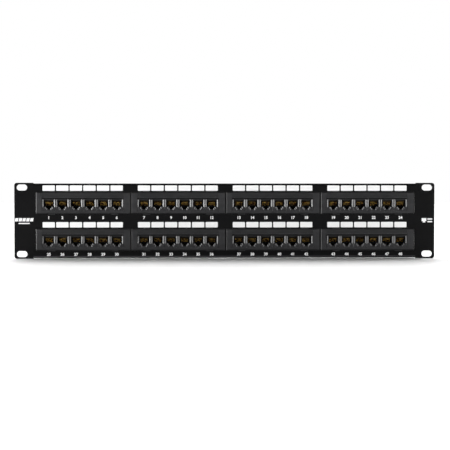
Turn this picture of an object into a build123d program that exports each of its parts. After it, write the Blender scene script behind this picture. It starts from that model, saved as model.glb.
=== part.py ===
from build123d import *
import os

# Two-unit 19-inch patch panel with 48 modular jacks, in two rows of four six-port modules.
# Units are millimetres. The origin is the centre of the four rack slots on the mounting
# plane, which is the rear face of the ears. +X is to the right seen from the front, +Z is
# up, and +Y runs into the rack.

# Front panel: bent sheet steel with two slotted ears
panel_width = 482.6
panel_height = 87.0
sheet = 1.5
ear_corner_radius = 3.0
slot_spacing_x = 465.1
slot_spacing_z = 76.2
slot_length = 12.0
slot_width = 7.0
flange_span = 438.8
flange_inset = 0.7
flange_end = 12.0
bend_radius = 2.6
window_corner_radius = 2.0
window_gap = 0.7

# Module layout
row_heights = (20.4, -21.6)
modules_per_row = 4
module_pitch = 108.84
ports_per_module = 6
port_pitch = 15.52

# Write-on label cells above each port
label_cell_width = 14.0
label_cell_height = 6.2
label_cell_corner = 0.8
label_thickness = 0.15
label_rise = 17.0

# Moulded bezel that fills its part of the window
bezel_width = 107.8
bezel_height = 24.4
bezel_shift = 0.6
bezel_front = -2.5
bezel_bevel = 0.8
seat_width = 108.4
seat_height = 28.8
seat_end = 2.0
recess_height = 4.4
recess_rise = 9.0
recess_depth = 0.4
skirt_wall = 1.4
skirt_end = 8.0
jack_window_clearance = 0.1
nib_width = 8.0
nib_offset = 36.0
nib_overlap = 0.45
nib_thickness = 0.7

# Modular jack, eight positions, with the latch keyway below the cavity
jack_width = 15.3
jack_top = 5.8
jack_bottom = -9.2
jack_front = -2.2
jack_brow = 0.9
jack_side_bevel = 0.2
cavity_half_width = 5.9
cavity_top = 3.8
cavity_floor = -4.2
key_half_widths = (3.3, 2.0)
key_floors = (-5.8, -7.4)
cavity_end = 8.8
mouth_slope_width = 0.9
mouth_slope_depth = 0.5
mouth_side_width = 1.3
mouth_side_depth = 0.75

# Contact wires, and the insert that carries them in the jack
contacts_per_jack = 8
contact_pitch = 1.02
contact_width = 0.45
contact_thickness = 0.35
contact_line = 2.6
hairpin_depth = 1.2
hairpin_radius = 0.6
beam_angle = 40.0
beam_length = 7.2
insert_clearance = 0.05
tongue_front = 0.4

# Circuit board and its screws
board_front = 13.4
board_thickness = 1.6
board_width = 106.4
board_height = 38.0
board_corner = 1.0
boss_offset_x = 50.3
boss_offset_z = 11.0
boss_radius = 2.5
pilot_radius = 1.15
pilot_depth = 9.0
screw_hole_radius = 1.6
screw_shank_radius = 1.1
screw_length = 9.0
screw_head_radius = 2.4
screw_head_height = 1.8
cross_width = 0.7
cross_length = 2.6
cross_depth = 1.1

# Insulation-displacement blocks on the rear of the board
blocks_per_row = 3
block_pitch = 31.6
block_rise = 9.6
block_width = 31.0
block_height = 11.4
block_base = 5.6
conductors_per_block = 8
conductor_pitch = 3.8
conductor_slot = 1.0
tall_tooth = 7.4
short_tooth = 5.9
tooth_point = 1.6
clip_channel = 0.7
clip_width = 2.6
clip_thickness = 0.45
clip_height = 5.2
clip_slot = 0.35
clip_slot_depth = 3.6
clip_mouth = 1.1
code_label_width = 94.0
code_label_height = 5.4

# Worked out from the driving dimensions
panel_front = -sheet
board_back = board_front + board_thickness
tooth_start = board_back + block_base
window_width = (modules_per_row - 1) * module_pitch + bezel_width + 2 * window_gap
window_height = bezel_height + 2 * window_gap
jack_height = jack_top - jack_bottom
jack_centre = (jack_top + jack_bottom) / 2
jack_row_width = (ports_per_module - 1) * port_pitch + jack_width
tongue_floor = contact_line + contact_thickness / 2
jack_window_width = jack_row_width + 4 * jack_window_clearance
jack_window_height = jack_height + 2 * jack_window_clearance


def spread(count, pitch):
    """Positions of equally spaced items about zero."""
    return [(index - (count - 1) / 2) * pitch for index in range(count)]


module_columns = spread(modules_per_row, module_pitch)
port_positions = spread(ports_per_module, port_pitch)
contact_positions = spread(contacts_per_jack, contact_pitch)
block_positions = spread(blocks_per_row, block_pitch)
module_places = [(x, z) for z in row_heights for x in module_columns]

# Front panel: a shallow channel with its flanges turned back, and a flat ear at each end
with BuildPart() as front_panel:
    channel_height = panel_height - 2 * flange_inset
    with BuildSketch(Plane.YZ.offset(-flange_span / 2)) as channel:
        with Locations((flange_end, 0)):
            RectangleRounded(2 * (flange_end + sheet), channel_height, bend_radius)
            RectangleRounded(
                2 * flange_end, channel_height - 2 * sheet, bend_radius - sheet, mode=Mode.SUBTRACT
            )
        with Locations((2 * flange_end, 0)):
            Rectangle(2 * flange_end, panel_height, mode=Mode.SUBTRACT)
    extrude(amount=flange_span)
    with BuildSketch(Plane.XZ) as ears:
        RectangleRounded(panel_width, panel_height, ear_corner_radius)
        Rectangle(flange_span, panel_height, mode=Mode.SUBTRACT)
    extrude(amount=sheet)
    with BuildSketch(Plane.XZ) as cutouts:
        for row_height in row_heights:
            with Locations((bezel_shift, row_height)):
                RectangleRounded(window_width, window_height, window_corner_radius)
        with GridLocations(slot_spacing_x, slot_spacing_z, 2, 2):
            SlotOverall(slot_length, slot_width)
    extrude(amount=sheet, mode=Mode.SUBTRACT)

# Label cells of one module, printed-on stock stuck to the front of the panel
with BuildPart() as label_cells:
    with BuildSketch(Plane.XZ.offset(sheet)) as cells:
        with Locations(*[(x, label_rise) for x in port_positions]):
            RectangleRounded(label_cell_width, label_cell_height, label_cell_corner)
    extrude(amount=label_thickness)

# Bezel: the face in the window, the seat behind the sheet, a skirt round the jacks, four
# bosses for the board, and small nibs that snap over the edge of the window
with BuildPart() as bezel:
    with BuildSketch(Plane.XZ) as face:
        with Locations((bezel_shift, 0)):
            Rectangle(bezel_width, bezel_height)
    extrude(amount=-bezel_front)
    chamfer(bezel.faces().sort_by(Axis.Y)[0].edges(), bezel_bevel)
    with BuildSketch(Plane.XZ.offset(-seat_end)) as seat:
        with Locations((bezel_shift, 0)):
            Rectangle(seat_width, seat_height)
    extrude(amount=seat_end)
    with BuildSketch(Plane.XZ.offset(-skirt_end)) as skirt:
        with Locations((0, jack_centre)):
            Rectangle(jack_window_width + 2 * skirt_wall, jack_window_height + 2 * skirt_wall)
    extrude(amount=skirt_end - seat_end)
    with BuildSketch(Plane.XZ.offset(-board_front)) as bosses:
        with GridLocations(2 * boss_offset_x, 2 * boss_offset_z, 2, 2):
            Circle(boss_radius)
    extrude(amount=board_front - seat_end)
    with BuildSketch(Plane.XZ.offset(-board_front)) as pilots:
        with GridLocations(2 * boss_offset_x, 2 * boss_offset_z, 2, 2):
            Circle(pilot_radius)
    extrude(amount=pilot_depth, mode=Mode.SUBTRACT)
    with BuildSketch(Plane.XZ.offset(-skirt_end)) as jack_window:
        with Locations((0, jack_centre)):
            Rectangle(jack_window_width, jack_window_height)
    extrude(amount=skirt_end - bezel_front, mode=Mode.SUBTRACT)
    with BuildSketch(Plane.XZ.offset(-bezel_front)) as recess:
        with Locations((0, recess_rise)):
            Rectangle(jack_window_width, recess_height)
    extrude(amount=-recess_depth, mode=Mode.SUBTRACT)
    nib_reach = window_gap + nib_overlap
    nib_rise = (bezel_height + nib_reach) / 2
    with BuildSketch(Plane.XZ.offset(sheet)) as nibs:
        with Locations((bezel_shift, 0)):
            with GridLocations(2 * nib_offset, 2 * nib_rise, 2, 2):
                Rectangle(nib_width, nib_reach)
    extrude(amount=nib_thickness)

# One jack housing, centred on x = 0, open at the front
with BuildPart() as jack:
    with BuildSketch(Plane.XZ.offset(-board_front)) as housing:
        with Locations((0, jack_centre)):
            Rectangle(jack_width, jack_height)
    extrude(amount=board_front - jack_front)
    front_edges = jack.faces().sort_by(Axis.Y)[0].edges()
    brow_edge = front_edges.sort_by(Axis.Z)[-1]
    chamfer(brow_edge, jack_brow)
    side_edges = jack.faces().sort_by(Axis.Y)[0].edges().filter_by(Axis.Z)
    chamfer(side_edges, jack_side_bevel)
    with BuildSketch(Plane.XZ.offset(-jack_front)) as cavity:
        with Locations((0, (cavity_top + cavity_floor) / 2)):
            Rectangle(2 * cavity_half_width, cavity_top - cavity_floor)
        for half_width, floor in zip(key_half_widths, key_floors):
            with Locations((0, (cavity_top + floor) / 2)):
                Rectangle(2 * half_width, cavity_top - floor)
    extrude(amount=jack_front - cavity_end, mode=Mode.SUBTRACT)
    jack_face = jack.faces().sort_by(Axis.Y)[0]
    mouth_sides = jack_face.inner_wires()[0].edges().filter_by(Axis.Z).sort_by(Edge.length)[-2:]
    chamfer(mouth_sides, mouth_side_width, mouth_side_depth, reference=jack_face)
    jack_face = jack.faces().sort_by(Axis.Y)[0]
    mouth_edges = jack_face.inner_wires()[0].edges()
    mouth_sides = mouth_edges.filter_by(Axis.Z).sort_by(Edge.length)[-2:]
    chamfer(mouth_edges - mouth_sides, mouth_slope_width, mouth_slope_depth, reference=jack_face)
    with BuildSketch(Plane.XZ.offset(-board_front)) as pocket:
        with Locations((0, (cavity_top + cavity_floor) / 2)):
            Rectangle(2 * cavity_half_width, cavity_top - cavity_floor)
    extrude(amount=board_front - cavity_end, mode=Mode.SUBTRACT)

# One insert: a block that closes the back of the cavity, a tongue along the ceiling over
# the contacts, and one slit that the tails of the contacts pass through
with BuildPart() as insert:
    insert_half_width = cavity_half_width - insert_clearance
    insert_top = cavity_top - insert_clearance
    insert_floor = cavity_floor + insert_clearance
    with BuildSketch(Plane.XZ.offset(-board_front)) as block_outline:
        with Locations((0, (insert_top + insert_floor) / 2)):
            Rectangle(2 * insert_half_width, insert_top - insert_floor)
    extrude(amount=board_front - cavity_end)
    with BuildSketch(Plane.XZ.offset(-cavity_end)) as tongue:
        with Locations((0, (insert_top + tongue_floor) / 2)):
            Rectangle(2 * insert_half_width, insert_top - tongue_floor)
    extrude(amount=cavity_end - tongue_front)
    with BuildSketch(Plane.XZ.offset(-board_front)) as tail_slit:
        with Locations((0, contact_line)):
            Rectangle(contacts_per_jack * contact_pitch, contact_thickness)
    extrude(amount=board_front - cavity_end, mode=Mode.SUBTRACT)

# One contact: along the tongue from the board, round a hairpin, and down into the cavity
with BuildPart() as contact:
    with BuildSketch(Plane.YZ) as contact_profile:
        with BuildLine() as contact_path:
            tail = Line((board_front, contact_line), (hairpin_depth, contact_line))
            hairpin = JernArc(tail @ 1, (-1, 0), hairpin_radius, 180 - beam_angle)
            Line(hairpin @ 1, hairpin @ 1 + (hairpin % 1) * beam_length)
        trace(line_width=contact_thickness)
    extrude(amount=contact_width / 2, both=True)

# Circuit board of one module
with BuildPart() as circuit_board:
    with BuildSketch(Plane.XZ.offset(-board_back)) as board:
        RectangleRounded(board_width, board_height, board_corner)
        with GridLocations(2 * boss_offset_x, 2 * boss_offset_z, 2, 2):
            Circle(screw_hole_radius, mode=Mode.SUBTRACT)
    extrude(amount=board_thickness)

# One pan-head screw on the Y axis, its head seated on the back of the board
with BuildPart() as screw:
    with BuildSketch(Plane.XZ.offset(-board_back)) as shank:
        Circle(screw_shank_radius)
    extrude(amount=screw_length)
    with BuildSketch(Plane.XZ.offset(-board_back)) as head:
        Circle(screw_head_radius)
    extrude(amount=-screw_head_height)
    fillet(screw.faces().sort_by(Axis.Y)[-1].edges(), 0.45 * screw_head_height)
    with BuildSketch(Plane.XZ.offset(-board_back - screw_head_height)) as cross:
        Rectangle(cross_length, cross_width)
        Rectangle(cross_width, cross_length)
    extrude(amount=cross_depth, mode=Mode.SUBTRACT)

# One four-pair block: a base with a comb of pointed teeth, tall between the pairs
with BuildPart() as idc_block:
    with BuildSketch(Plane.XY) as block_profile:
        with Locations((0, board_back + block_base / 2)):
            Rectangle(block_width, block_base)
        for index, x in enumerate(spread(conductors_per_block + 1, conductor_pitch)):
            tooth_half = (conductor_pitch - conductor_slot) / 2
            left = max(x - tooth_half, -block_width / 2)
            right = min(x + tooth_half, block_width / 2)
            tip = tooth_start + (tall_tooth if index % 2 == 0 else short_tooth)
            shoulder = tip - tooth_point
            with BuildLine():
                Polyline(
                    (left, tooth_start), (left, shoulder), (x, tip),
                    (right, shoulder), (right, tooth_start), close=True
                )
            make_face()
    extrude(amount=block_height / 2, both=True)
    with BuildSketch(Plane.XY) as channel_profile:
        with Locations((0, tooth_start + tall_tooth / 2)):
            Rectangle(block_width, tall_tooth)
    extrude(amount=clip_channel / 2, both=True, mode=Mode.SUBTRACT)

# One forked clip that stands in the channel and grips a wire in its slot
with BuildPart() as idc_clip:
    clip_tip = tooth_start + clip_height
    slot_end = clip_tip - clip_slot_depth
    with BuildSketch(Plane.XY) as clip_profile:
        with Locations((0, tooth_start + clip_height / 2)):
            Rectangle(clip_width, clip_height)
        with BuildLine():
            Polyline(
                (-clip_mouth / 2, clip_tip), (-clip_slot / 2, clip_tip - clip_mouth),
                (-clip_slot / 2, slot_end), (clip_slot / 2, slot_end),
                (clip_slot / 2, clip_tip - clip_mouth), (clip_mouth / 2, clip_tip), close=True
            )
        make_face(mode=Mode.SUBTRACT)
    extrude(amount=clip_thickness / 2, both=True)

# Colour-code label of one module, between its two rows of blocks
with BuildPart() as code_label:
    with BuildSketch(Plane.XZ.offset(-board_back)) as code_strip:
        RectangleRounded(code_label_width, code_label_height, 0.5)
    extrude(amount=-label_thickness)


def copies(shape, places):
    """The solids of a shape, repeated at each (x, z) place."""
    return [solid.moved(Location((x, 0, z))) for x, z in places for solid in shape.solids()]


def write(name, solids):
    """Write one node of separate solids as a STEP file."""
    node = solids[0] if len(solids) == 1 else Compound(children=solids)
    node.label = name
    export_step(node, f"parts/{name}.step")


def offset_places(places, x, z):
    """The places moved by a module's own centre."""
    return [(x + dx, z + dz) for dx, dz in places]


jack_places = [(x, 0) for x in port_positions]
contact_places = [(x + dx, 0) for x in port_positions for dx in contact_positions]
block_places = [(x, z) for z in (block_rise, -block_rise) for x in block_positions]
clip_columns = spread(conductors_per_block, conductor_pitch)
clip_places = [(x + dx, z) for x, z in block_places for dx in clip_columns]
screw_places = [(x, z) for x in (-boss_offset_x, boss_offset_x) for z in (-boss_offset_z, boss_offset_z)]

module_nodes = {
    "bezel": (bezel.part, [(0, 0)]),
    "jacks": (jack.part, jack_places),
    "contact_inserts": (insert.part, jack_places),
    "jack_contacts": (contact.part, contact_places),
    "circuit_board": (circuit_board.part, [(0, 0)]),
    "idc_blocks": (idc_block.part, block_places),
    "idc_clips": (idc_clip.part, clip_places),
}

os.makedirs("parts", exist_ok=True)
write("front_panel", front_panel.part.solids())
for number, (x, z) in enumerate(module_places, start=1):
    for name, (shape, places) in module_nodes.items():
        write(f"{name}_{number}", copies(shape, offset_places(places, x, z)))

write("label_cells", copies(label_cells.part, module_places))
write("idc_code_labels", copies(code_label.part, module_places))
all_screws = [place for x, z in module_places for place in offset_places(screw_places, x, z)]
write("board_screws", copies(screw.part, all_screws))
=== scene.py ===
import math
import bmesh
import bpy
from mathutils import Matrix, Vector


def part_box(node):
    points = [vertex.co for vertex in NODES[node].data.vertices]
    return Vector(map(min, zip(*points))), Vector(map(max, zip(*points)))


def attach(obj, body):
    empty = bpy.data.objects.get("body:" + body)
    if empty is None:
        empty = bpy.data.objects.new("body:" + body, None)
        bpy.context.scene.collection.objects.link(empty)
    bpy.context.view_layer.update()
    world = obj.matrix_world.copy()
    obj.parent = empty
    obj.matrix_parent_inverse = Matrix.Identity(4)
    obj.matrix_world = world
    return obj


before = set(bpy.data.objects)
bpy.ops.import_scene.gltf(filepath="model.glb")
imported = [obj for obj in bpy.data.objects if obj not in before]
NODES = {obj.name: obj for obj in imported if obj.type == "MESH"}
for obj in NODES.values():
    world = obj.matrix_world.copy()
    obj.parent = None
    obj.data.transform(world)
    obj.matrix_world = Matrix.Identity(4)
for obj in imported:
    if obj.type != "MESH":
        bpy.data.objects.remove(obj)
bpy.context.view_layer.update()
MM = 0.001

# ---------------------------------------------------------------- layout
# Places are read from the frame. The counts, pitches, offsets and sizes down to BOSS_OFFSET_Z repeat the
# CAD source's own values.

ROWS = 2
MODULES_PER_ROW = 4
PORTS_PER_MODULE = 6
MODULES = range(1, ROWS * MODULES_PER_ROW + 1)
PORT_PITCH = 15.52 * MM
CONTACT_PITCH = 1.02 * MM
BLOCK_PITCH = 31.6 * MM
BLOCK_RISE = 9.6 * MM
BLOCK_WIDTH = 31.0 * MM
BLOCK_HEIGHT = 11.4 * MM
CONDUCTOR_PITCH = 3.8 * MM
CONDUCTORS_PER_BLOCK = 8
BOSS_OFFSET_X = 50.3 * MM
BOSS_OFFSET_Z = 11.0 * MM


def middle(node):
    low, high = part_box(node)
    return (low + high) / 2


def module_row(module):
    """0 for the top row, 1 for the bottom row."""
    return (module - 1) // MODULES_PER_ROW


def port_number(module, index):
    """Ports are numbered from 1, along the top row and then along the bottom row."""
    return (module - 1) * PORTS_PER_MODULE + index + 1


def port_places():
    """(number, x, module) of each port, in order."""
    places = []
    for module in MODULES:
        centre = middle(f"jacks_{module}")
        for index in range(PORTS_PER_MODULE):
            x = centre.x + (index - (PORTS_PER_MODULE - 1) / 2) * PORT_PITCH
            places.append((port_number(module, index), x, module))
    return places


def block_places():
    """(port number, x, z, side) of each wire block: odd ports have upper ones (+1), even lower (-1)."""
    places = []
    for module in MODULES:
        centre = middle(f"idc_blocks_{module}")
        for index in range(PORTS_PER_MODULE):
            column, lower = divmod(index, 2)
            x = centre.x + (column - 1) * BLOCK_PITCH
            places.append((port_number(module, index), x, centre.z, -1 if lower else 1))
    return places


PANEL_LOW, PANEL_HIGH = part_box("front_panel")
SHEET_FRONT = PANEL_LOW.y
BEZEL_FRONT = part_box("bezel_1")[0].y
JACK_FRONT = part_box("jacks_1")[0].y
BOARD_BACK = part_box("circuit_board_1")[1].y
LABEL_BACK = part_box("idc_code_labels")[1].y

# ---------------------------------------------------------------- camera

CAMERA_DISTANCE = 1.57
CAMERA_AZIMUTH = math.radians(-1.712)
CAMERA_ELEVATION = math.radians(1.5)
CAMERA_TARGET = Vector((-0.00027, 0.0, -0.00498))
SENSOR_WIDTH = 36.0
FOCAL_LENGTH = 109.23


def make_camera():
    """The photograph's view, but from slightly above instead of slightly below, so that the floor is seen."""
    back = Vector((
        math.sin(CAMERA_AZIMUTH) * math.cos(CAMERA_ELEVATION),
        -math.cos(CAMERA_AZIMUTH) * math.cos(CAMERA_ELEVATION),
        math.sin(CAMERA_ELEVATION),
    ))
    data = bpy.data.cameras.new("camera")
    data.sensor_width = SENSOR_WIDTH
    data.lens = FOCAL_LENGTH
    camera = bpy.data.objects.new("camera", data)
    bpy.context.scene.collection.objects.link(camera)
    camera.location = CAMERA_TARGET + back * CAMERA_DISTANCE
    camera.rotation_mode = "QUATERNION"
    camera.rotation_quaternion = (-back).to_track_quat("-Z", "Y")
    bpy.context.scene.camera = camera


make_camera()

# ---------------------------------------------------------------- materials

# The colour sockets of a mix node share their names with its other sockets, so they are found by number.
MIX_FACTOR = 0
MIX_FIRST = 6
MIX_SECOND = 7
MIX_RESULT = 2


class Shader:
    """A material under construction, with its nodes in the object's own coordinates."""

    def __init__(self, name, color, roughness, metallic=0.0, specular=0.5, coat=0.0, coat_roughness=0.1):
        self.material = bpy.data.materials.new(name)
        self.material.use_nodes = True
        self.nodes = self.material.node_tree.nodes
        self.links = self.material.node_tree.links
        self.bsdf = self.nodes["Principled BSDF"]
        self.material.diffuse_color = (*color, 1.0)
        for socket, value in (
            ("Base Color", (*color, 1.0)), ("Roughness", roughness), ("Metallic", metallic),
            ("Specular IOR Level", specular), ("Coat Weight", coat), ("Coat Roughness", coat_roughness),
        ):
            self.bsdf.inputs[socket].default_value = value
        self.coordinates = self.nodes.new("ShaderNodeTexCoord").outputs["Object"]

    def stretched(self, scale):
        """The object's coordinates, scaled along X, Y and Z: a low scale draws features out."""
        mapping = self.nodes.new("ShaderNodeMapping")
        mapping.inputs["Scale"].default_value = scale
        self.links.new(self.coordinates, mapping.inputs["Vector"])
        return mapping.outputs["Vector"]

    def noise(self, size, detail=2.0, roughness=0.5, vector=None):
        """Noise whose features are about size metres across."""
        node = self.nodes.new("ShaderNodeTexNoise")
        node.inputs["Scale"].default_value = 1.0 / size
        node.inputs["Detail"].default_value = detail
        node.inputs["Roughness"].default_value = roughness
        self.links.new(vector or self.coordinates, node.inputs["Vector"])
        return node.outputs["Fac"]

    def separate(self, coordinates, axis):
        """One component of the object's own coordinates or of its normal."""
        source = self.nodes.new("ShaderNodeTexCoord").outputs[coordinates]
        split = self.nodes.new("ShaderNodeSeparateXYZ")
        self.links.new(source, split.inputs["Vector"])
        return split.outputs[axis]

    def rise(self):
        """Height above the middle of the row of sockets, the same in both rows."""
        top, bottom = middle("bezel_1").z, middle(f"bezel_{MODULES[-1]}").z
        half = (top - bottom) / 2
        wrapped = self.compute("WRAP", self.separate("Object", "Z"), top + half, top - half)
        return self.compute("SUBTRACT", wrapped, top)

    def compute(self, operation, *values):
        """A math node: each value is another node's output or a float."""
        node = self.nodes.new("ShaderNodeMath")
        node.operation = operation
        for socket, value in zip(node.inputs, values):
            if isinstance(value, float):
                socket.default_value = value
            else:
                self.links.new(value, socket)
        return node.outputs["Value"]

    def mix(self, factor, first, second):
        """From a node's colour to a plain one, as the factor goes from 0 to 1."""
        node = self.nodes.new("ShaderNodeMix")
        node.data_type = "RGBA"
        self.links.new(factor, node.inputs[MIX_FACTOR])
        self.links.new(first, node.inputs[MIX_FIRST])
        node.inputs[MIX_SECOND].default_value = (*second, 1.0)
        return node.outputs[MIX_RESULT]

    def remap(self, value, low, high, from_low=0.3, from_high=0.7):
        node = self.nodes.new("ShaderNodeMapRange")
        node.inputs["From Min"].default_value = from_low
        node.inputs["From Max"].default_value = from_high
        node.inputs["To Min"].default_value = low
        node.inputs["To Max"].default_value = high
        self.links.new(value, node.inputs["Value"])
        return node.outputs["Result"]

    def share(self, value, start, end):
        """0 at the start and 1 at the end."""
        return self.remap(value, 0.0, 1.0, start, end)

    def ramp(self, value, *stops):
        """A colour ramp: each stop is (place, colour)."""
        node = self.nodes.new("ShaderNodeValToRGB")
        elements = node.color_ramp.elements
        elements[0].position, elements[1].position = stops[0][0], stops[-1][0]
        for place, _ in stops[1:-1]:
            elements.new(place)
        for element, (_, color) in zip(elements, stops):
            element.color = (*color, 1.0)
        self.links.new(value, node.inputs["Fac"])
        return node.outputs["Color"]

    def color(self, output):
        self.links.new(output, self.bsdf.inputs["Base Color"])

    def rough(self, output):
        self.links.new(output, self.bsdf.inputs["Roughness"])

    def bump(self, *layers):
        """Bumps of (height output, depth in metres), one on top of another. Returns the finished material."""
        normal = None
        for height, depth in layers:
            node = self.nodes.new("ShaderNodeBump")
            node.inputs["Distance"].default_value = depth
            node.inputs["Strength"].default_value = 1.0
            self.links.new(height, node.inputs["Height"])
            if normal is not None:
                self.links.new(normal, node.inputs["Normal"])
            normal = node.outputs["Normal"]
        self.links.new(normal, self.bsdf.inputs["Normal"])
        return self.material


def grey(value):
    return (value, value, value)


def times(color, factor):
    return tuple(c * factor for c in color)


def powder_coat():
    """Black powder coat: fine orange peel, slight variation in gloss, and a painted highlight: greyer where
    the lower bent edge faces partly down, standing for the floor's reflection there.
    """
    s = Shader("powder_coat", grey(0.003), 0.38, specular=0.13)
    peel = s.noise(size=0.0011, detail=1.0)
    grain = s.noise(size=0.00028)
    cloud = s.noise(size=0.05, detail=4.0)
    flat = s.ramp(cloud, (0.3, (0.0024, 0.0024, 0.0027)), (0.7, (0.0034, 0.0034, 0.0038)))
    facing_down = s.share(s.separate("Normal", "Z"), 0.0, -1.0)
    # Painted highlight: a lighter base colour on the part of the lower bent edge that faces partly down.
    painted_bend_highlight = s.ramp(facing_down, (0.06, grey(0)), (0.18, grey(1)), (0.36, grey(1)), (0.5, grey(0)))
    s.color(s.mix(painted_bend_highlight, flat, (0.065, 0.065, 0.068)))
    s.rough(s.remap(grain, low=0.32, high=0.44))
    return s.bump((peel, 0.00002), (grain, 0.000006))


def moulded_plastic(name, color, roughness):
    """Black moulded plastic with a fine spark-eroded grain and faint flow lines."""
    s = Shader(name, color, roughness, specular=0.4)
    grain = s.noise(size=0.00022)
    flow = s.noise(size=0.006, detail=3.0, vector=s.stretched((0.25, 1.0, 1.0)))
    s.color(s.ramp(flow, (0.32, times(color, 0.86)), (0.68, times(color, 1.18))))
    s.rough(s.remap(flow, low=roughness - 0.05, high=roughness + 0.07))
    return s.bump((grain, 0.000006))


BEZEL_SHADE_DEPTH = 2.0 * MM


def bezel_plastic():
    """Black moulded plastic, with painted shade: darker on the bevel behind its face, and darkest and dull
    further in, where the slits between bezels lie in shade.
    """
    face, painted_slit_shade = (0.021, 0.021, 0.0225), (0.0006, 0.0006, 0.0006)
    s = Shader("bezel_plastic", face, 0.36, specular=0.4)
    flow = s.noise(size=0.006, detail=3.0, vector=s.stretched((0.25, 1.0, 1.0)))
    depth = s.share(s.separate("Object", "Y"), BEZEL_FRONT, BEZEL_FRONT + BEZEL_SHADE_DEPTH)
    plain = s.ramp(flow, (0.3, times(face, 0.75)), (0.7, times(face, 1.25)))
    # Painted shade: the base colour darkens with depth behind the bezel's face, to near black in the slits.
    dark = s.ramp(depth, (0.02, grey(0)), (0.12, grey(0.4)), (0.42, grey(0.4)), (0.6, grey(1)))
    s.color(s.mix(dark, plain, painted_slit_shade))
    s.rough(s.remap(depth, low=0.36, high=0.8, from_low=0.42, from_high=0.6))
    return s.bump((s.noise(size=0.00022), 0.000006))


# Where a housing turns dull and takes painted shade: how far behind its front, and how far above the middle
# of its row.
HOUSING_SHADE_DEPTHS = (0.8 * MM, 2.2 * MM)
HOUSING_SHADE_RISES = (3.6 * MM, 4.2 * MM)


def jack_plastic():
    """Glossy black housing, dull inside the socket and above its mouth, with painted shade darkening it
    there.
    """
    bright, dark = (0.018, 0.018, 0.0195), (0.002, 0.002, 0.0022)
    s = Shader("jack_plastic", bright, 0.28, specular=0.42)
    depth = s.share(s.separate("Object", "Y"), *(JACK_FRONT + depth for depth in HOUSING_SHADE_DEPTHS))
    above = s.share(s.rise(), *HOUSING_SHADE_RISES)
    dullness_and_painted_shade = s.compute("MAXIMUM", depth, above)
    # Painted shade: the base colour goes from the housing's own black to near black inside the socket and
    # above its mouth.
    s.color(s.ramp(dullness_and_painted_shade, (0.0, bright), (1.0, dark)))
    s.rough(s.remap(dullness_and_painted_shade, low=0.28, high=0.75, from_low=0.0, from_high=1.0))
    return s.bump((s.noise(size=0.0004), 0.000003))


# Where a painted shadow darkens a contact towards the top of its socket, above the middle of its row.
CONTACT_SHADE_RISES = (0.7 * MM, 1.5 * MM)


def gold_contact():
    """Gold flash over phosphor bronze: uneven in tone, drawn along its length, with a painted shadow
    darkening it under the tongue.
    """
    s = Shader("gold_contact", (0.8, 0.48, 0.15), 0.5, metallic=1.0)
    drawn = s.noise(size=0.0002, vector=s.stretched((4.0, 0.3, 0.3)))
    tone = s.noise(size=0.0022)
    gold = s.ramp(tone, (0.43, (0.15, 0.055, 0.01)), (0.53, (1.0, 0.7, 0.2)))
    painted_tongue_shadow = s.share(s.rise(), *CONTACT_SHADE_RISES)
    # Painted shadow: near the top of the socket the gold fades to a near-black brown.
    s.color(s.mix(painted_tongue_shadow, gold, (0.03, 0.018, 0.007)))
    s.rough(s.remap(drawn, low=0.62, high=0.76))
    return s.bump((drawn, 0.000004))


def tinned_metal(name, color, roughness):
    """Plated metal with fine brushing and slightly darker spots."""
    s = Shader(name, color, roughness, metallic=1.0)
    brushed = s.noise(size=0.0003, detail=3.0, vector=s.stretched((1.0, 5.0, 1.0)))
    spots = s.noise(size=0.0016, detail=3.0)
    s.color(s.ramp(spots, (0.3, times(color, 0.82)), (0.7, color)))
    s.rough(s.remap(brushed, low=roughness - 0.06, high=roughness + 0.12))
    return s.bump((brushed, 0.000005))


WEAVE_SCALE = 900.0
WEAVE_GAP = 0.12


def solder_mask(name, dark, light):
    """Green solder mask over the weave of glass cloth."""
    s = Shader(name, light, 0.3, coat=0.35, coat_roughness=0.18)
    weave = s.nodes.new("ShaderNodeTexBrick")
    weave.inputs["Scale"].default_value = WEAVE_SCALE
    weave.inputs["Mortar Size"].default_value = WEAVE_GAP
    turned = s.nodes.new("ShaderNodeMapping")
    turned.inputs["Rotation"].default_value = (math.radians(90), 0, 0)
    s.links.new(s.coordinates, turned.inputs["Vector"])
    s.links.new(turned.outputs["Vector"], weave.inputs["Vector"])
    tone = s.noise(size=0.012, detail=3.0)
    s.color(s.ramp(tone, (0.3, dark), (0.7, light)))
    s.rough(s.remap(tone, low=0.24, high=0.36))
    return s.bump((weave.outputs["Fac"], 0.000004), (s.noise(size=0.002), 0.000006))


def printed_ink(name, color):
    """Screen-printed ink: slightly uneven, with a fine grain."""
    s = Shader(name, color, 0.45)
    uneven = s.noise(size=0.0004, detail=3.0)
    s.color(s.ramp(uneven, (0.3, times(color, 0.93)), (0.65, color)))
    s.rough(s.remap(uneven, low=0.39, high=0.55))
    return s.bump((s.noise(size=0.0003), 0.000005))


def label_stock():
    """White write-on stock, matt, with a fine paper tooth."""
    s = Shader("label_stock", grey(0.84), 0.6)
    fibre = s.noise(size=0.0006, detail=5.0, roughness=0.65, vector=s.stretched((0.6, 1.0, 1.4)))
    s.color(s.ramp(fibre, (0.3, (0.87, 0.87, 0.865)), (0.62, (0.92, 0.92, 0.92))))
    s.rough(s.remap(fibre, low=0.52, high=0.7))
    return s.bump((fibre, 0.000012))


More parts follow.
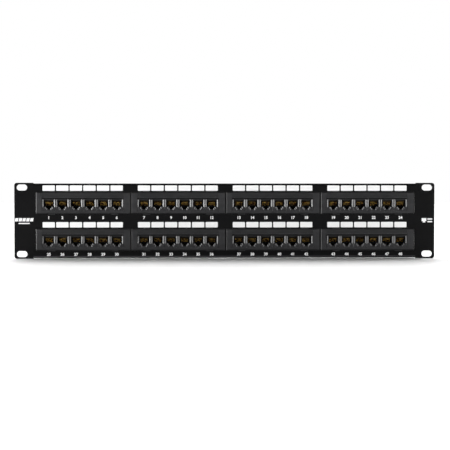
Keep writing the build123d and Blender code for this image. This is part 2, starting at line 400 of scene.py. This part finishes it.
WHITE_INK = printed_ink("white_ink", (0.92, 0.92, 0.92))
BLACK_INK = printed_ink("black_ink", (0.02, 0.02, 0.02))
TRACE_GREEN = solder_mask("trace_mask", (0.02, 0.16, 0.06), (0.035, 0.24, 0.1))
SOLDER = tinned_metal("solder", (0.78, 0.77, 0.74), 0.34)
MATERIALS = {
    "front_panel": powder_coat(),
    "bezel": bezel_plastic(),
    "jacks": jack_plastic(),
    "contact_inserts": moulded_plastic("insert_plastic", grey(0.003), 0.55),
    "jack_contacts": gold_contact(),
    "circuit_board": solder_mask("solder_mask", (0.008, 0.095, 0.034), (0.016, 0.15, 0.06)),
    "idc_blocks": moulded_plastic("block_plastic", (0.02, 0.02, 0.021), 0.4),
    "idc_clips": tinned_metal("tin_plate", (0.72, 0.71, 0.68), 0.3),
    "label_cells": label_stock(),
    "idc_code_labels": label_stock(),
    "board_screws": tinned_metal("zinc_plate", (0.68, 0.68, 0.7), 0.28),
}


def finish_nodes():
    """Each CAD node takes the material whose name is the longest start of its own."""
    for name, node in NODES.items():
        key = next(k for k in sorted(MATERIALS, key=len, reverse=True) if name.startswith(k))
        node.data.materials.clear()
        node.data.materials.append(MATERIALS[key])


finish_nodes()

# ---------------------------------------------------------------- small pieces


def add_mesh(name, mesh, material):
    """A finished mesh becomes a piece that rides with the panel."""
    piece = bpy.data.objects.new(name, mesh)
    bpy.context.scene.collection.objects.link(piece)
    mesh.materials.append(material)
    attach(piece, "root")


def text_mesh(words, size, weight, depth):
    """A centred word in the XZ plane that reads from the front, as thin solid ink."""
    curve = bpy.data.curves.new("word", "FONT")
    curve.body = words
    curve.align_x = "CENTER"
    curve.align_y = "CENTER"
    curve.size = size
    curve.offset = weight
    curve.extrude = depth / 2
    curve.resolution_u = 3
    holder = bpy.data.objects.new("word", curve)
    bpy.context.scene.collection.objects.link(holder)
    bpy.context.view_layer.update()
    mesh = bpy.data.meshes.new_from_object(holder)
    bpy.data.objects.remove(holder)
    bpy.data.curves.remove(curve)
    mesh.transform(Matrix.Rotation(math.radians(90), 4, "X"))
    return mesh


def write_words(name, words, size, weight, depth, material, facing=-1.0):
    """One piece of many words, each (word, x, y, z). facing -1 reads from the front, +1 from behind."""
    form = bmesh.new()
    for word, x, y, z in words:
        mesh = text_mesh(word, size, weight, depth)
        if facing > 0:
            mesh.transform(Matrix.Rotation(math.radians(180), 4, "Z"))
        mesh.transform(Matrix.Translation((x, y + facing * depth / 2, z)))
        form.from_mesh(mesh)
        bpy.data.meshes.remove(mesh)
    mesh = bpy.data.meshes.new(name)
    form.to_mesh(mesh)
    form.free()
    add_mesh(name, mesh, material)


def plate(form, points, y, thickness):
    """Adds a flat plate to a bmesh: points are its outline (x, z), and thickness goes towards -Y."""
    back = [form.verts.new((x, y, z)) for x, z in points]
    front = [form.verts.new((x, y - thickness, z)) for x, z in points]
    form.faces.new(back)
    form.faces.new(front[::-1])
    for i in range(len(points)):
        j = (i + 1) % len(points)
        form.faces.new((back[j], back[i], front[i], front[j]))


def rounded(x, z, width, height, radius, steps=5):
    """The outline of a rectangle with round corners, about (x, z)."""
    outline = []
    for corner, (sx, sz) in enumerate(((1, 1), (-1, 1), (-1, -1), (1, -1))):
        cx, cz = x + sx * (width / 2 - radius), z + sz * (height / 2 - radius)
        for step in range(steps + 1):
            turn = math.radians(90 * corner + 90 * step / steps)
            outline.append((cx + radius * math.cos(turn), cz + radius * math.sin(turn)))
    return outline


def mesh_of(name, form):
    bmesh.ops.recalc_face_normals(form, faces=form.faces)
    mesh = bpy.data.meshes.new(name)
    form.to_mesh(mesh)
    form.free()
    return mesh


# ---------------------------------------------------------------- printing on the front

INK = 0.05 * MM
NUMBER_SIZE = 4.4 * MM
NUMBER_WEIGHT = 0.17 * MM
NUMBER_RISE = -17.0 * MM


def port_numbers():
    """Numbers 1 to 48, printed on the panel under each port."""
    for row, name in enumerate(("top", "bottom")):
        words = []
        for number, x, module in port_places():
            if module_row(module) == row:
                z = middle(f"bezel_{module}").z + NUMBER_RISE
                words.append((str(number), x, SHEET_FRONT, z))
        write_words(f"port_numbers_{name}", words, NUMBER_SIZE, NUMBER_WEIGHT, INK, WHITE_INK)


LEFT_MARK_SHIFT = -1.0 * MM
BLOCKS_IN_MARK = 5
MARK_BLOCK_PITCH = 4.3 * MM
MARK_BLOCK_HALF_WIDTH = 1.75 * MM
MARK_BLOCK_HALF_HEIGHT = 1.9 * MM
MARK_BLOCK_RISE = 1.2 * MM
MARK_SLANT = 0.9 * MM
MARK_BAR_RISE = -3.0 * MM
MARK_BAR_WIDTH = 13.0 * MM
MARK_BAR_HEIGHT = 1.3 * MM
MARK_BAR_RADIUS = 0.6 * MM


def left_mark():
    """A plain printed mark on the left ear: a row of slanted blocks over a short bar."""
    form = bmesh.new()
    centre_x = (PANEL_LOW.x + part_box("bezel_1")[0].x) / 2 + LEFT_MARK_SHIFT
    low = MARK_BLOCK_RISE - MARK_BLOCK_HALF_HEIGHT
    high = MARK_BLOCK_RISE + MARK_BLOCK_HALF_HEIGHT
    lean = MARK_SLANT / 2
    for index in range(BLOCKS_IN_MARK):
        x = centre_x + (index - (BLOCKS_IN_MARK - 1) / 2) * MARK_BLOCK_PITCH
        left, right = x - MARK_BLOCK_HALF_WIDTH, x + MARK_BLOCK_HALF_WIDTH
        outline = [(left - lean, low), (right - lean, low), (right + lean, high), (left + lean, high)]
        plate(form, outline, SHEET_FRONT, INK)
    bar = rounded(centre_x, MARK_BAR_RISE, MARK_BAR_WIDTH, MARK_BAR_HEIGHT, MARK_BAR_RADIUS)
    plate(form, bar, SHEET_FRONT, INK)
    add_mesh("ear_mark_left", mesh_of("ear_mark_left", form), WHITE_INK)


RIGHT_MARK_SHIFT = 3.2 * MM
RIGHT_MARK_RISE = 0.3 * MM
PICTOGRAM_LEFT = -6.2 * MM
PICTOGRAM_BOTTOM = -2.5 * MM
# A socket's outline in millimetres (x, z), from the lower left corner of the pictogram.
PICTOGRAM = (
    (0.0, 5.0), (5.4, 5.0), (5.4, 1.6), (4.1, 1.6), (4.1, 0.0), (1.3, 0.0), (1.3, 1.6), (0.0, 1.6),
)
SIDE_BAR_SHIFT = 3.2 * MM
SIDE_BAR_RISES = (1.5 * MM, -1.5 * MM)
SIDE_BAR_WIDTH = 5.6 * MM
SIDE_BAR_HEIGHT = 1.5 * MM
SIDE_BAR_RADIUS = 0.5 * MM


def right_mark():
    """A plain printed pictogram on the right ear: a socket beside two bars."""
    form = bmesh.new()
    centre_x = (PANEL_HIGH.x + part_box("bezel_4")[1].x) / 2 + RIGHT_MARK_SHIFT
    left, bottom = centre_x + PICTOGRAM_LEFT, RIGHT_MARK_RISE + PICTOGRAM_BOTTOM
    plate(form, [(left + x * MM, bottom + z * MM) for x, z in PICTOGRAM], SHEET_FRONT, INK)
    for rise in SIDE_BAR_RISES:
        x, z = centre_x + SIDE_BAR_SHIFT, RIGHT_MARK_RISE + rise
        plate(form, rounded(x, z, SIDE_BAR_WIDTH, SIDE_BAR_HEIGHT, SIDE_BAR_RADIUS), SHEET_FRONT, INK)
    add_mesh("ear_mark_right", mesh_of("ear_mark_right", form), WHITE_INK)


port_numbers()
left_mark()
right_mark()

# ---------------------------------------------------------------- bezels and sockets

LIP_REACH = 0.42 * MM
LIP_BACK = 0.7 * MM
LIP_THICKNESS = 0.4 * MM
LIP_RADIUS = 0.2 * MM
LIP_SHORTER_THAN_BEZEL = 0.6 * MM


def bezel_lips():
    """Thin lips across the slits between the bezels' seats and at the windows' ends.

    Each bezel has one on its right, and the first bezel of a row has one on its left as well.
    """
    for module in MODULES:
        low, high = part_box(f"bezel_{module}")
        form = bmesh.new()
        starts_row = (module - 1) % MODULES_PER_ROW == 0
        middle_z, height = (low.z + high.z) / 2, high.z - low.z - LIP_SHORTER_THAN_BEZEL
        for edge in (low.x, high.x) if starts_row else (high.x,):
            outline = rounded(edge, middle_z, 2 * LIP_REACH, height, LIP_RADIUS, steps=3)
            plate(form, outline, LIP_BACK, LIP_THICKNESS)
        # The lips lie deep behind the bezels' faces, where the bezel material paints them near black with its
        # painted shade.
        add_mesh(f"bezel_lips_{module}", mesh_of("lips", form), MATERIALS["bezel"])


RIBS_PER_COMB = 9
RIB_WIDTH = 0.36 * MM
RIB_HEIGHT = 5.8 * MM
RIB_RADIUS = 0.12 * MM
RIB_THICKNESS = 0.6 * MM
RIB_BEFORE_INSERT_BACK = 4.6 * MM
RIB_ABOVE_INSERT_BOTTOM = 3.3 * MM


def contact_combs():
    """Thin ribs on the face of each insert's block, one between each two contacts and one at each end."""
    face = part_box("contact_inserts_1")[1].y - RIB_BEFORE_INSERT_BACK
    for module in MODULES:
        form = bmesh.new()
        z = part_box(f"contact_inserts_{module}")[0].z + RIB_ABOVE_INSERT_BOTTOM
        for _, centre_x, owner in port_places():
            if owner != module:
                continue
            for rib in range(RIBS_PER_COMB):
                x = centre_x + (rib - (RIBS_PER_COMB - 1) / 2) * CONTACT_PITCH
                plate(form, rounded(x, z, RIB_WIDTH, RIB_HEIGHT, RIB_RADIUS, steps=2), face, RIB_THICKNESS)
        mesh = mesh_of("combs", form)
        add_mesh(f"contact_combs_{module}", mesh, MATERIALS["contact_inserts"])


bezel_lips()
contact_combs()

# ---------------------------------------------------------------- the back: printed labels and boards

PAIR_INKS = {
    "blue": (0.02, 0.07, 0.42),
    "orange": (0.78, 0.2, 0.015),
    "green": (0.015, 0.26, 0.06),
    "brown": (0.15, 0.055, 0.02),
}
TICK_WIDTH = 2.9 * MM
TICK_HEIGHTS = (0.6 * MM, 1.2 * MM)
TICK_RADIUS = 0.15 * MM
TICK_REACH = 2.5 * MM


def behind(form, points, surface, thickness=INK):
    """A plate that lies on a surface facing +Y."""
    plate(form, points, surface + thickness, thickness)


def conductor_offset(index):
    """How far a block's conductor stands from the block's middle."""
    return (index - (CONDUCTORS_PER_BLOCK - 1) / 2) * CONDUCTOR_PITCH


def pair_colors():
    """Printed ticks beside each wire block: each pair has a low tick and then a full one, in its colour."""
    for pair, (name, color) in enumerate(PAIR_INKS.items()):
        form = bmesh.new()
        for _, block_x, z, side in block_places():
            for wire, height in enumerate(TICK_HEIGHTS):
                x = block_x - conductor_offset(2 * pair + wire)
                tick_z = z + side * (TICK_REACH - height / 2)
                behind(form, rounded(x, tick_z, TICK_WIDTH, height, TICK_RADIUS, steps=2), LABEL_BACK)
        ink = printed_ink(f"{name}_ink", color)
        add_mesh(f"pair_ticks_{name}", mesh_of(name, form), ink)


BLOCK_NUMBER_SIZE = 2.3 * MM
BLOCK_NUMBER_WEIGHT = 0.03 * MM
BLOCK_NUMBER_SHIFT = 5.7 * MM
ARROW_SHIFT = -2.6 * MM
ARROW_HALF_WIDTH = 0.6 * MM
ARROW_HALF_HEIGHT = 0.75 * MM


def block_numbers():
    """Each block's port number on its side of the label, with a small arrow towards the block."""
    words, form = [], bmesh.new()
    for number, block_x, z, side in block_places():
        x = block_x + side * BLOCK_NUMBER_SHIFT
        words.append((str(number), x, LABEL_BACK, z))
        arrow_x, tip = x + ARROW_SHIFT, side * ARROW_HALF_HEIGHT
        foot = [(arrow_x - ARROW_HALF_WIDTH, z - tip), (arrow_x + ARROW_HALF_WIDTH, z - tip)]
        behind(form, foot + [(arrow_x, z + tip)], LABEL_BACK)
    size, weight = BLOCK_NUMBER_SIZE, BLOCK_NUMBER_WEIGHT
    write_words("block_numbers", words, size, weight, INK, BLACK_INK, facing=1.0)
    add_mesh("block_arrows", mesh_of("block_arrows", form), BLACK_INK)


def ring(form, x, z, surface, inner, outer, thickness, steps=20):
    """A flat ring on a surface facing +Y."""
    rows = []
    turns = [2 * math.pi * step / steps for step in range(steps)]
    top = surface + thickness
    for radius, y in ((inner, surface), (inner, top), (outer, top), (outer, surface)):
        rows.append([form.verts.new((x + radius * math.cos(t), y, z + radius * math.sin(t))) for t in turns])
    for row, after in zip(rows, rows[1:] + rows[:1]):
        for step in range(steps):
            form.faces.new((row[step], row[step - 1], after[step - 1], after[step]))


COPPER = 0.035 * MM
TRACE_LENGTH = 2.1 * MM
TRACE_STAGGER = 0.8 * MM
TRACE_WIDTH = 0.35 * MM
TRACE_RADIUS = 0.1 * MM
SCREW_RING = (1.7 * MM, 2.9 * MM)
HOLE_RING = (0.16 * MM, 0.42 * MM)
HOLE_BEYOND_TRACE = 0.3 * MM
LINE_BEYOND_BLOCK = 0.25 * MM
LINE_SHORTER_THAN_BLOCK = 1.0 * MM
LINE_HEIGHT = 0.18 * MM
LINE_RADIUS = 0.05 * MM


def board_details():
    """Solder rings round the screws and at the ends of short traces, and a printed line by each block."""
    traces, plated, outlines = bmesh.new(), bmesh.new(), bmesh.new()
    for module in MODULES:
        centre = middle(f"circuit_board_{module}")
        for sx in (-1, 1):
            for sz in (-1, 1):
                x, z = centre.x + sx * BOSS_OFFSET_X, centre.z + sz * BOSS_OFFSET_Z
                ring(plated, x, z, BOARD_BACK, *SCREW_RING, COPPER)
    edge = BLOCK_RISE + BLOCK_HEIGHT / 2
    for _, block_x, z, side in block_places():
        for index in range(CONDUCTORS_PER_BLOCK):
            x = block_x + conductor_offset(index)
            length = TRACE_LENGTH - (index % 2) * TRACE_STAGGER
            middle_z = z + side * (edge + length / 2)
            trace = rounded(x, middle_z, TRACE_WIDTH, length, TRACE_RADIUS, steps=2)
            behind(traces, trace, BOARD_BACK, COPPER)
            hole_z = z + side * (edge + length + HOLE_BEYOND_TRACE)
            ring(plated, x, hole_z, BOARD_BACK, *HOLE_RING, COPPER, steps=12)
        line_z = z + side * (edge + LINE_BEYOND_BLOCK)
        line_width = BLOCK_WIDTH - LINE_SHORTER_THAN_BLOCK
        line = rounded(block_x, line_z, line_width, LINE_HEIGHT, LINE_RADIUS, steps=1)
        behind(outlines, line, BOARD_BACK)
    add_mesh("board_traces", mesh_of("traces", traces), TRACE_GREEN)
    add_mesh("board_plating", mesh_of("plating", plated), SOLDER)
    add_mesh("board_outlines", mesh_of("outlines", outlines), WHITE_INK)


pair_colors()
block_numbers()
board_details()

# ---------------------------------------------------------------- floor, light, world

FLOOR_REACH = 6.0
FLOOR_GAP = 0.0002


def make_floor():
    mesh = bpy.data.meshes.new("floor")
    z = PANEL_LOW.z - FLOOR_GAP
    corners = [(sx * FLOOR_REACH, sy * FLOOR_REACH, z) for sx, sy in ((-1, -1), (1, -1), (1, 1), (-1, 1))]
    mesh.from_pydata(corners, [], [(0, 1, 2, 3)])
    floor = bpy.data.objects.new("floor", mesh)
    bpy.context.scene.collection.objects.link(floor)
    s = Shader("floor_white", grey(0.9), 0.6, specular=0.2)
    s.color(s.ramp(s.noise(size=0.5, detail=3.0), (0.3, grey(0.89)), (0.7, grey(0.91))))
    mesh.materials.append(s.material)


# Soft boxes that face the origin, as (name, place, width, height, watts). All but the last are low: two in
# front, 60 degrees to either side, and one by the left end. The last is a weak one high in front.
LIGHTS = (
    ("left_box", (-1.3, -0.75, 0.06), 0.9, 0.18, 17.0),
    ("right_box", (1.3, -0.75, 0.06), 0.9, 0.18, 10.0),
    ("end_box", (-1.5, -0.12, 0.06), 0.5, 0.18, 8.0),
    ("top_box", (0.0, -0.75, 1.25), 1.6, 0.5, 1.0),
)


def make_lights():
    origin = Vector((0, 0, 0))
    for name, place, width, height, power in LIGHTS:
        data = bpy.data.lights.new(name, "AREA")
        data.shape = "RECTANGLE"
        data.size, data.size_y, data.energy = width, height, power
        light = bpy.data.objects.new(name, data)
        bpy.context.scene.collection.objects.link(light)
        light.location = place
        light.rotation_mode = "QUATERNION"
        light.rotation_quaternion = (origin - Vector(place)).to_track_quat("-Z", "Y")
        light.visible_camera = False


def make_world():
    """A bright sky band behind the panel throws its shadow forward. The sky itself is seen as plain white."""
    world = bpy.data.worlds.new("world")
    bpy.context.scene.world = world
    world.use_nodes = True
    nodes, links = world.node_tree.nodes, world.node_tree.links
    split = nodes.new("ShaderNodeSeparateXYZ")
    links.new(nodes.new("ShaderNodeTexCoord").outputs["Generated"], split.inputs["Vector"])

    def band(axis, start, end, low, high):
        """From low to high, as one component of the direction goes from start to end."""
        node = nodes.new("ShaderNodeMapRange")
        node.interpolation_type = "SMOOTHSTEP"
        for socket, value in (("From Min", start), ("From Max", end), ("To Min", low), ("To Max", high)):
            node.inputs[socket].default_value = value
        links.new(split.outputs[axis], node.inputs["Value"])
        return node.outputs["Result"]

    def combine(operation, first, second):
        node = nodes.new("ShaderNodeMath")
        node.operation = operation
        links.new(first, node.inputs[0])
        links.new(second, node.inputs[1])
        return node.outputs["Value"]

    backwards = band("Y", start=0.05, end=0.3, low=0.0, high=1.0)
    upwards = band("Z", start=0.6, end=0.9, low=4.0, high=0.2)
    rest_of_sky = band("Y", start=-0.9, end=0.0, low=0.03, high=0.1)
    light = combine("ADD", combine("MULTIPLY", backwards, upwards), rest_of_sky)
    seen = nodes.new("ShaderNodeMix")
    links.new(nodes.new("ShaderNodeLightPath").outputs["Is Camera Ray"], seen.inputs["Factor"])
    links.new(light, seen.inputs["A"])
    seen.inputs["B"].default_value = 1.0
    links.new(seen.outputs["Result"], nodes["Background"].inputs["Strength"])
    nodes["Background"].inputs["Color"].default_value = (1.0, 1.0, 1.0, 1.0)


make_floor()
make_lights()
make_world()
bpy.context.scene.view_settings.view_transform = "Standard"
bpy.context.scene.view_settings.look = "None"
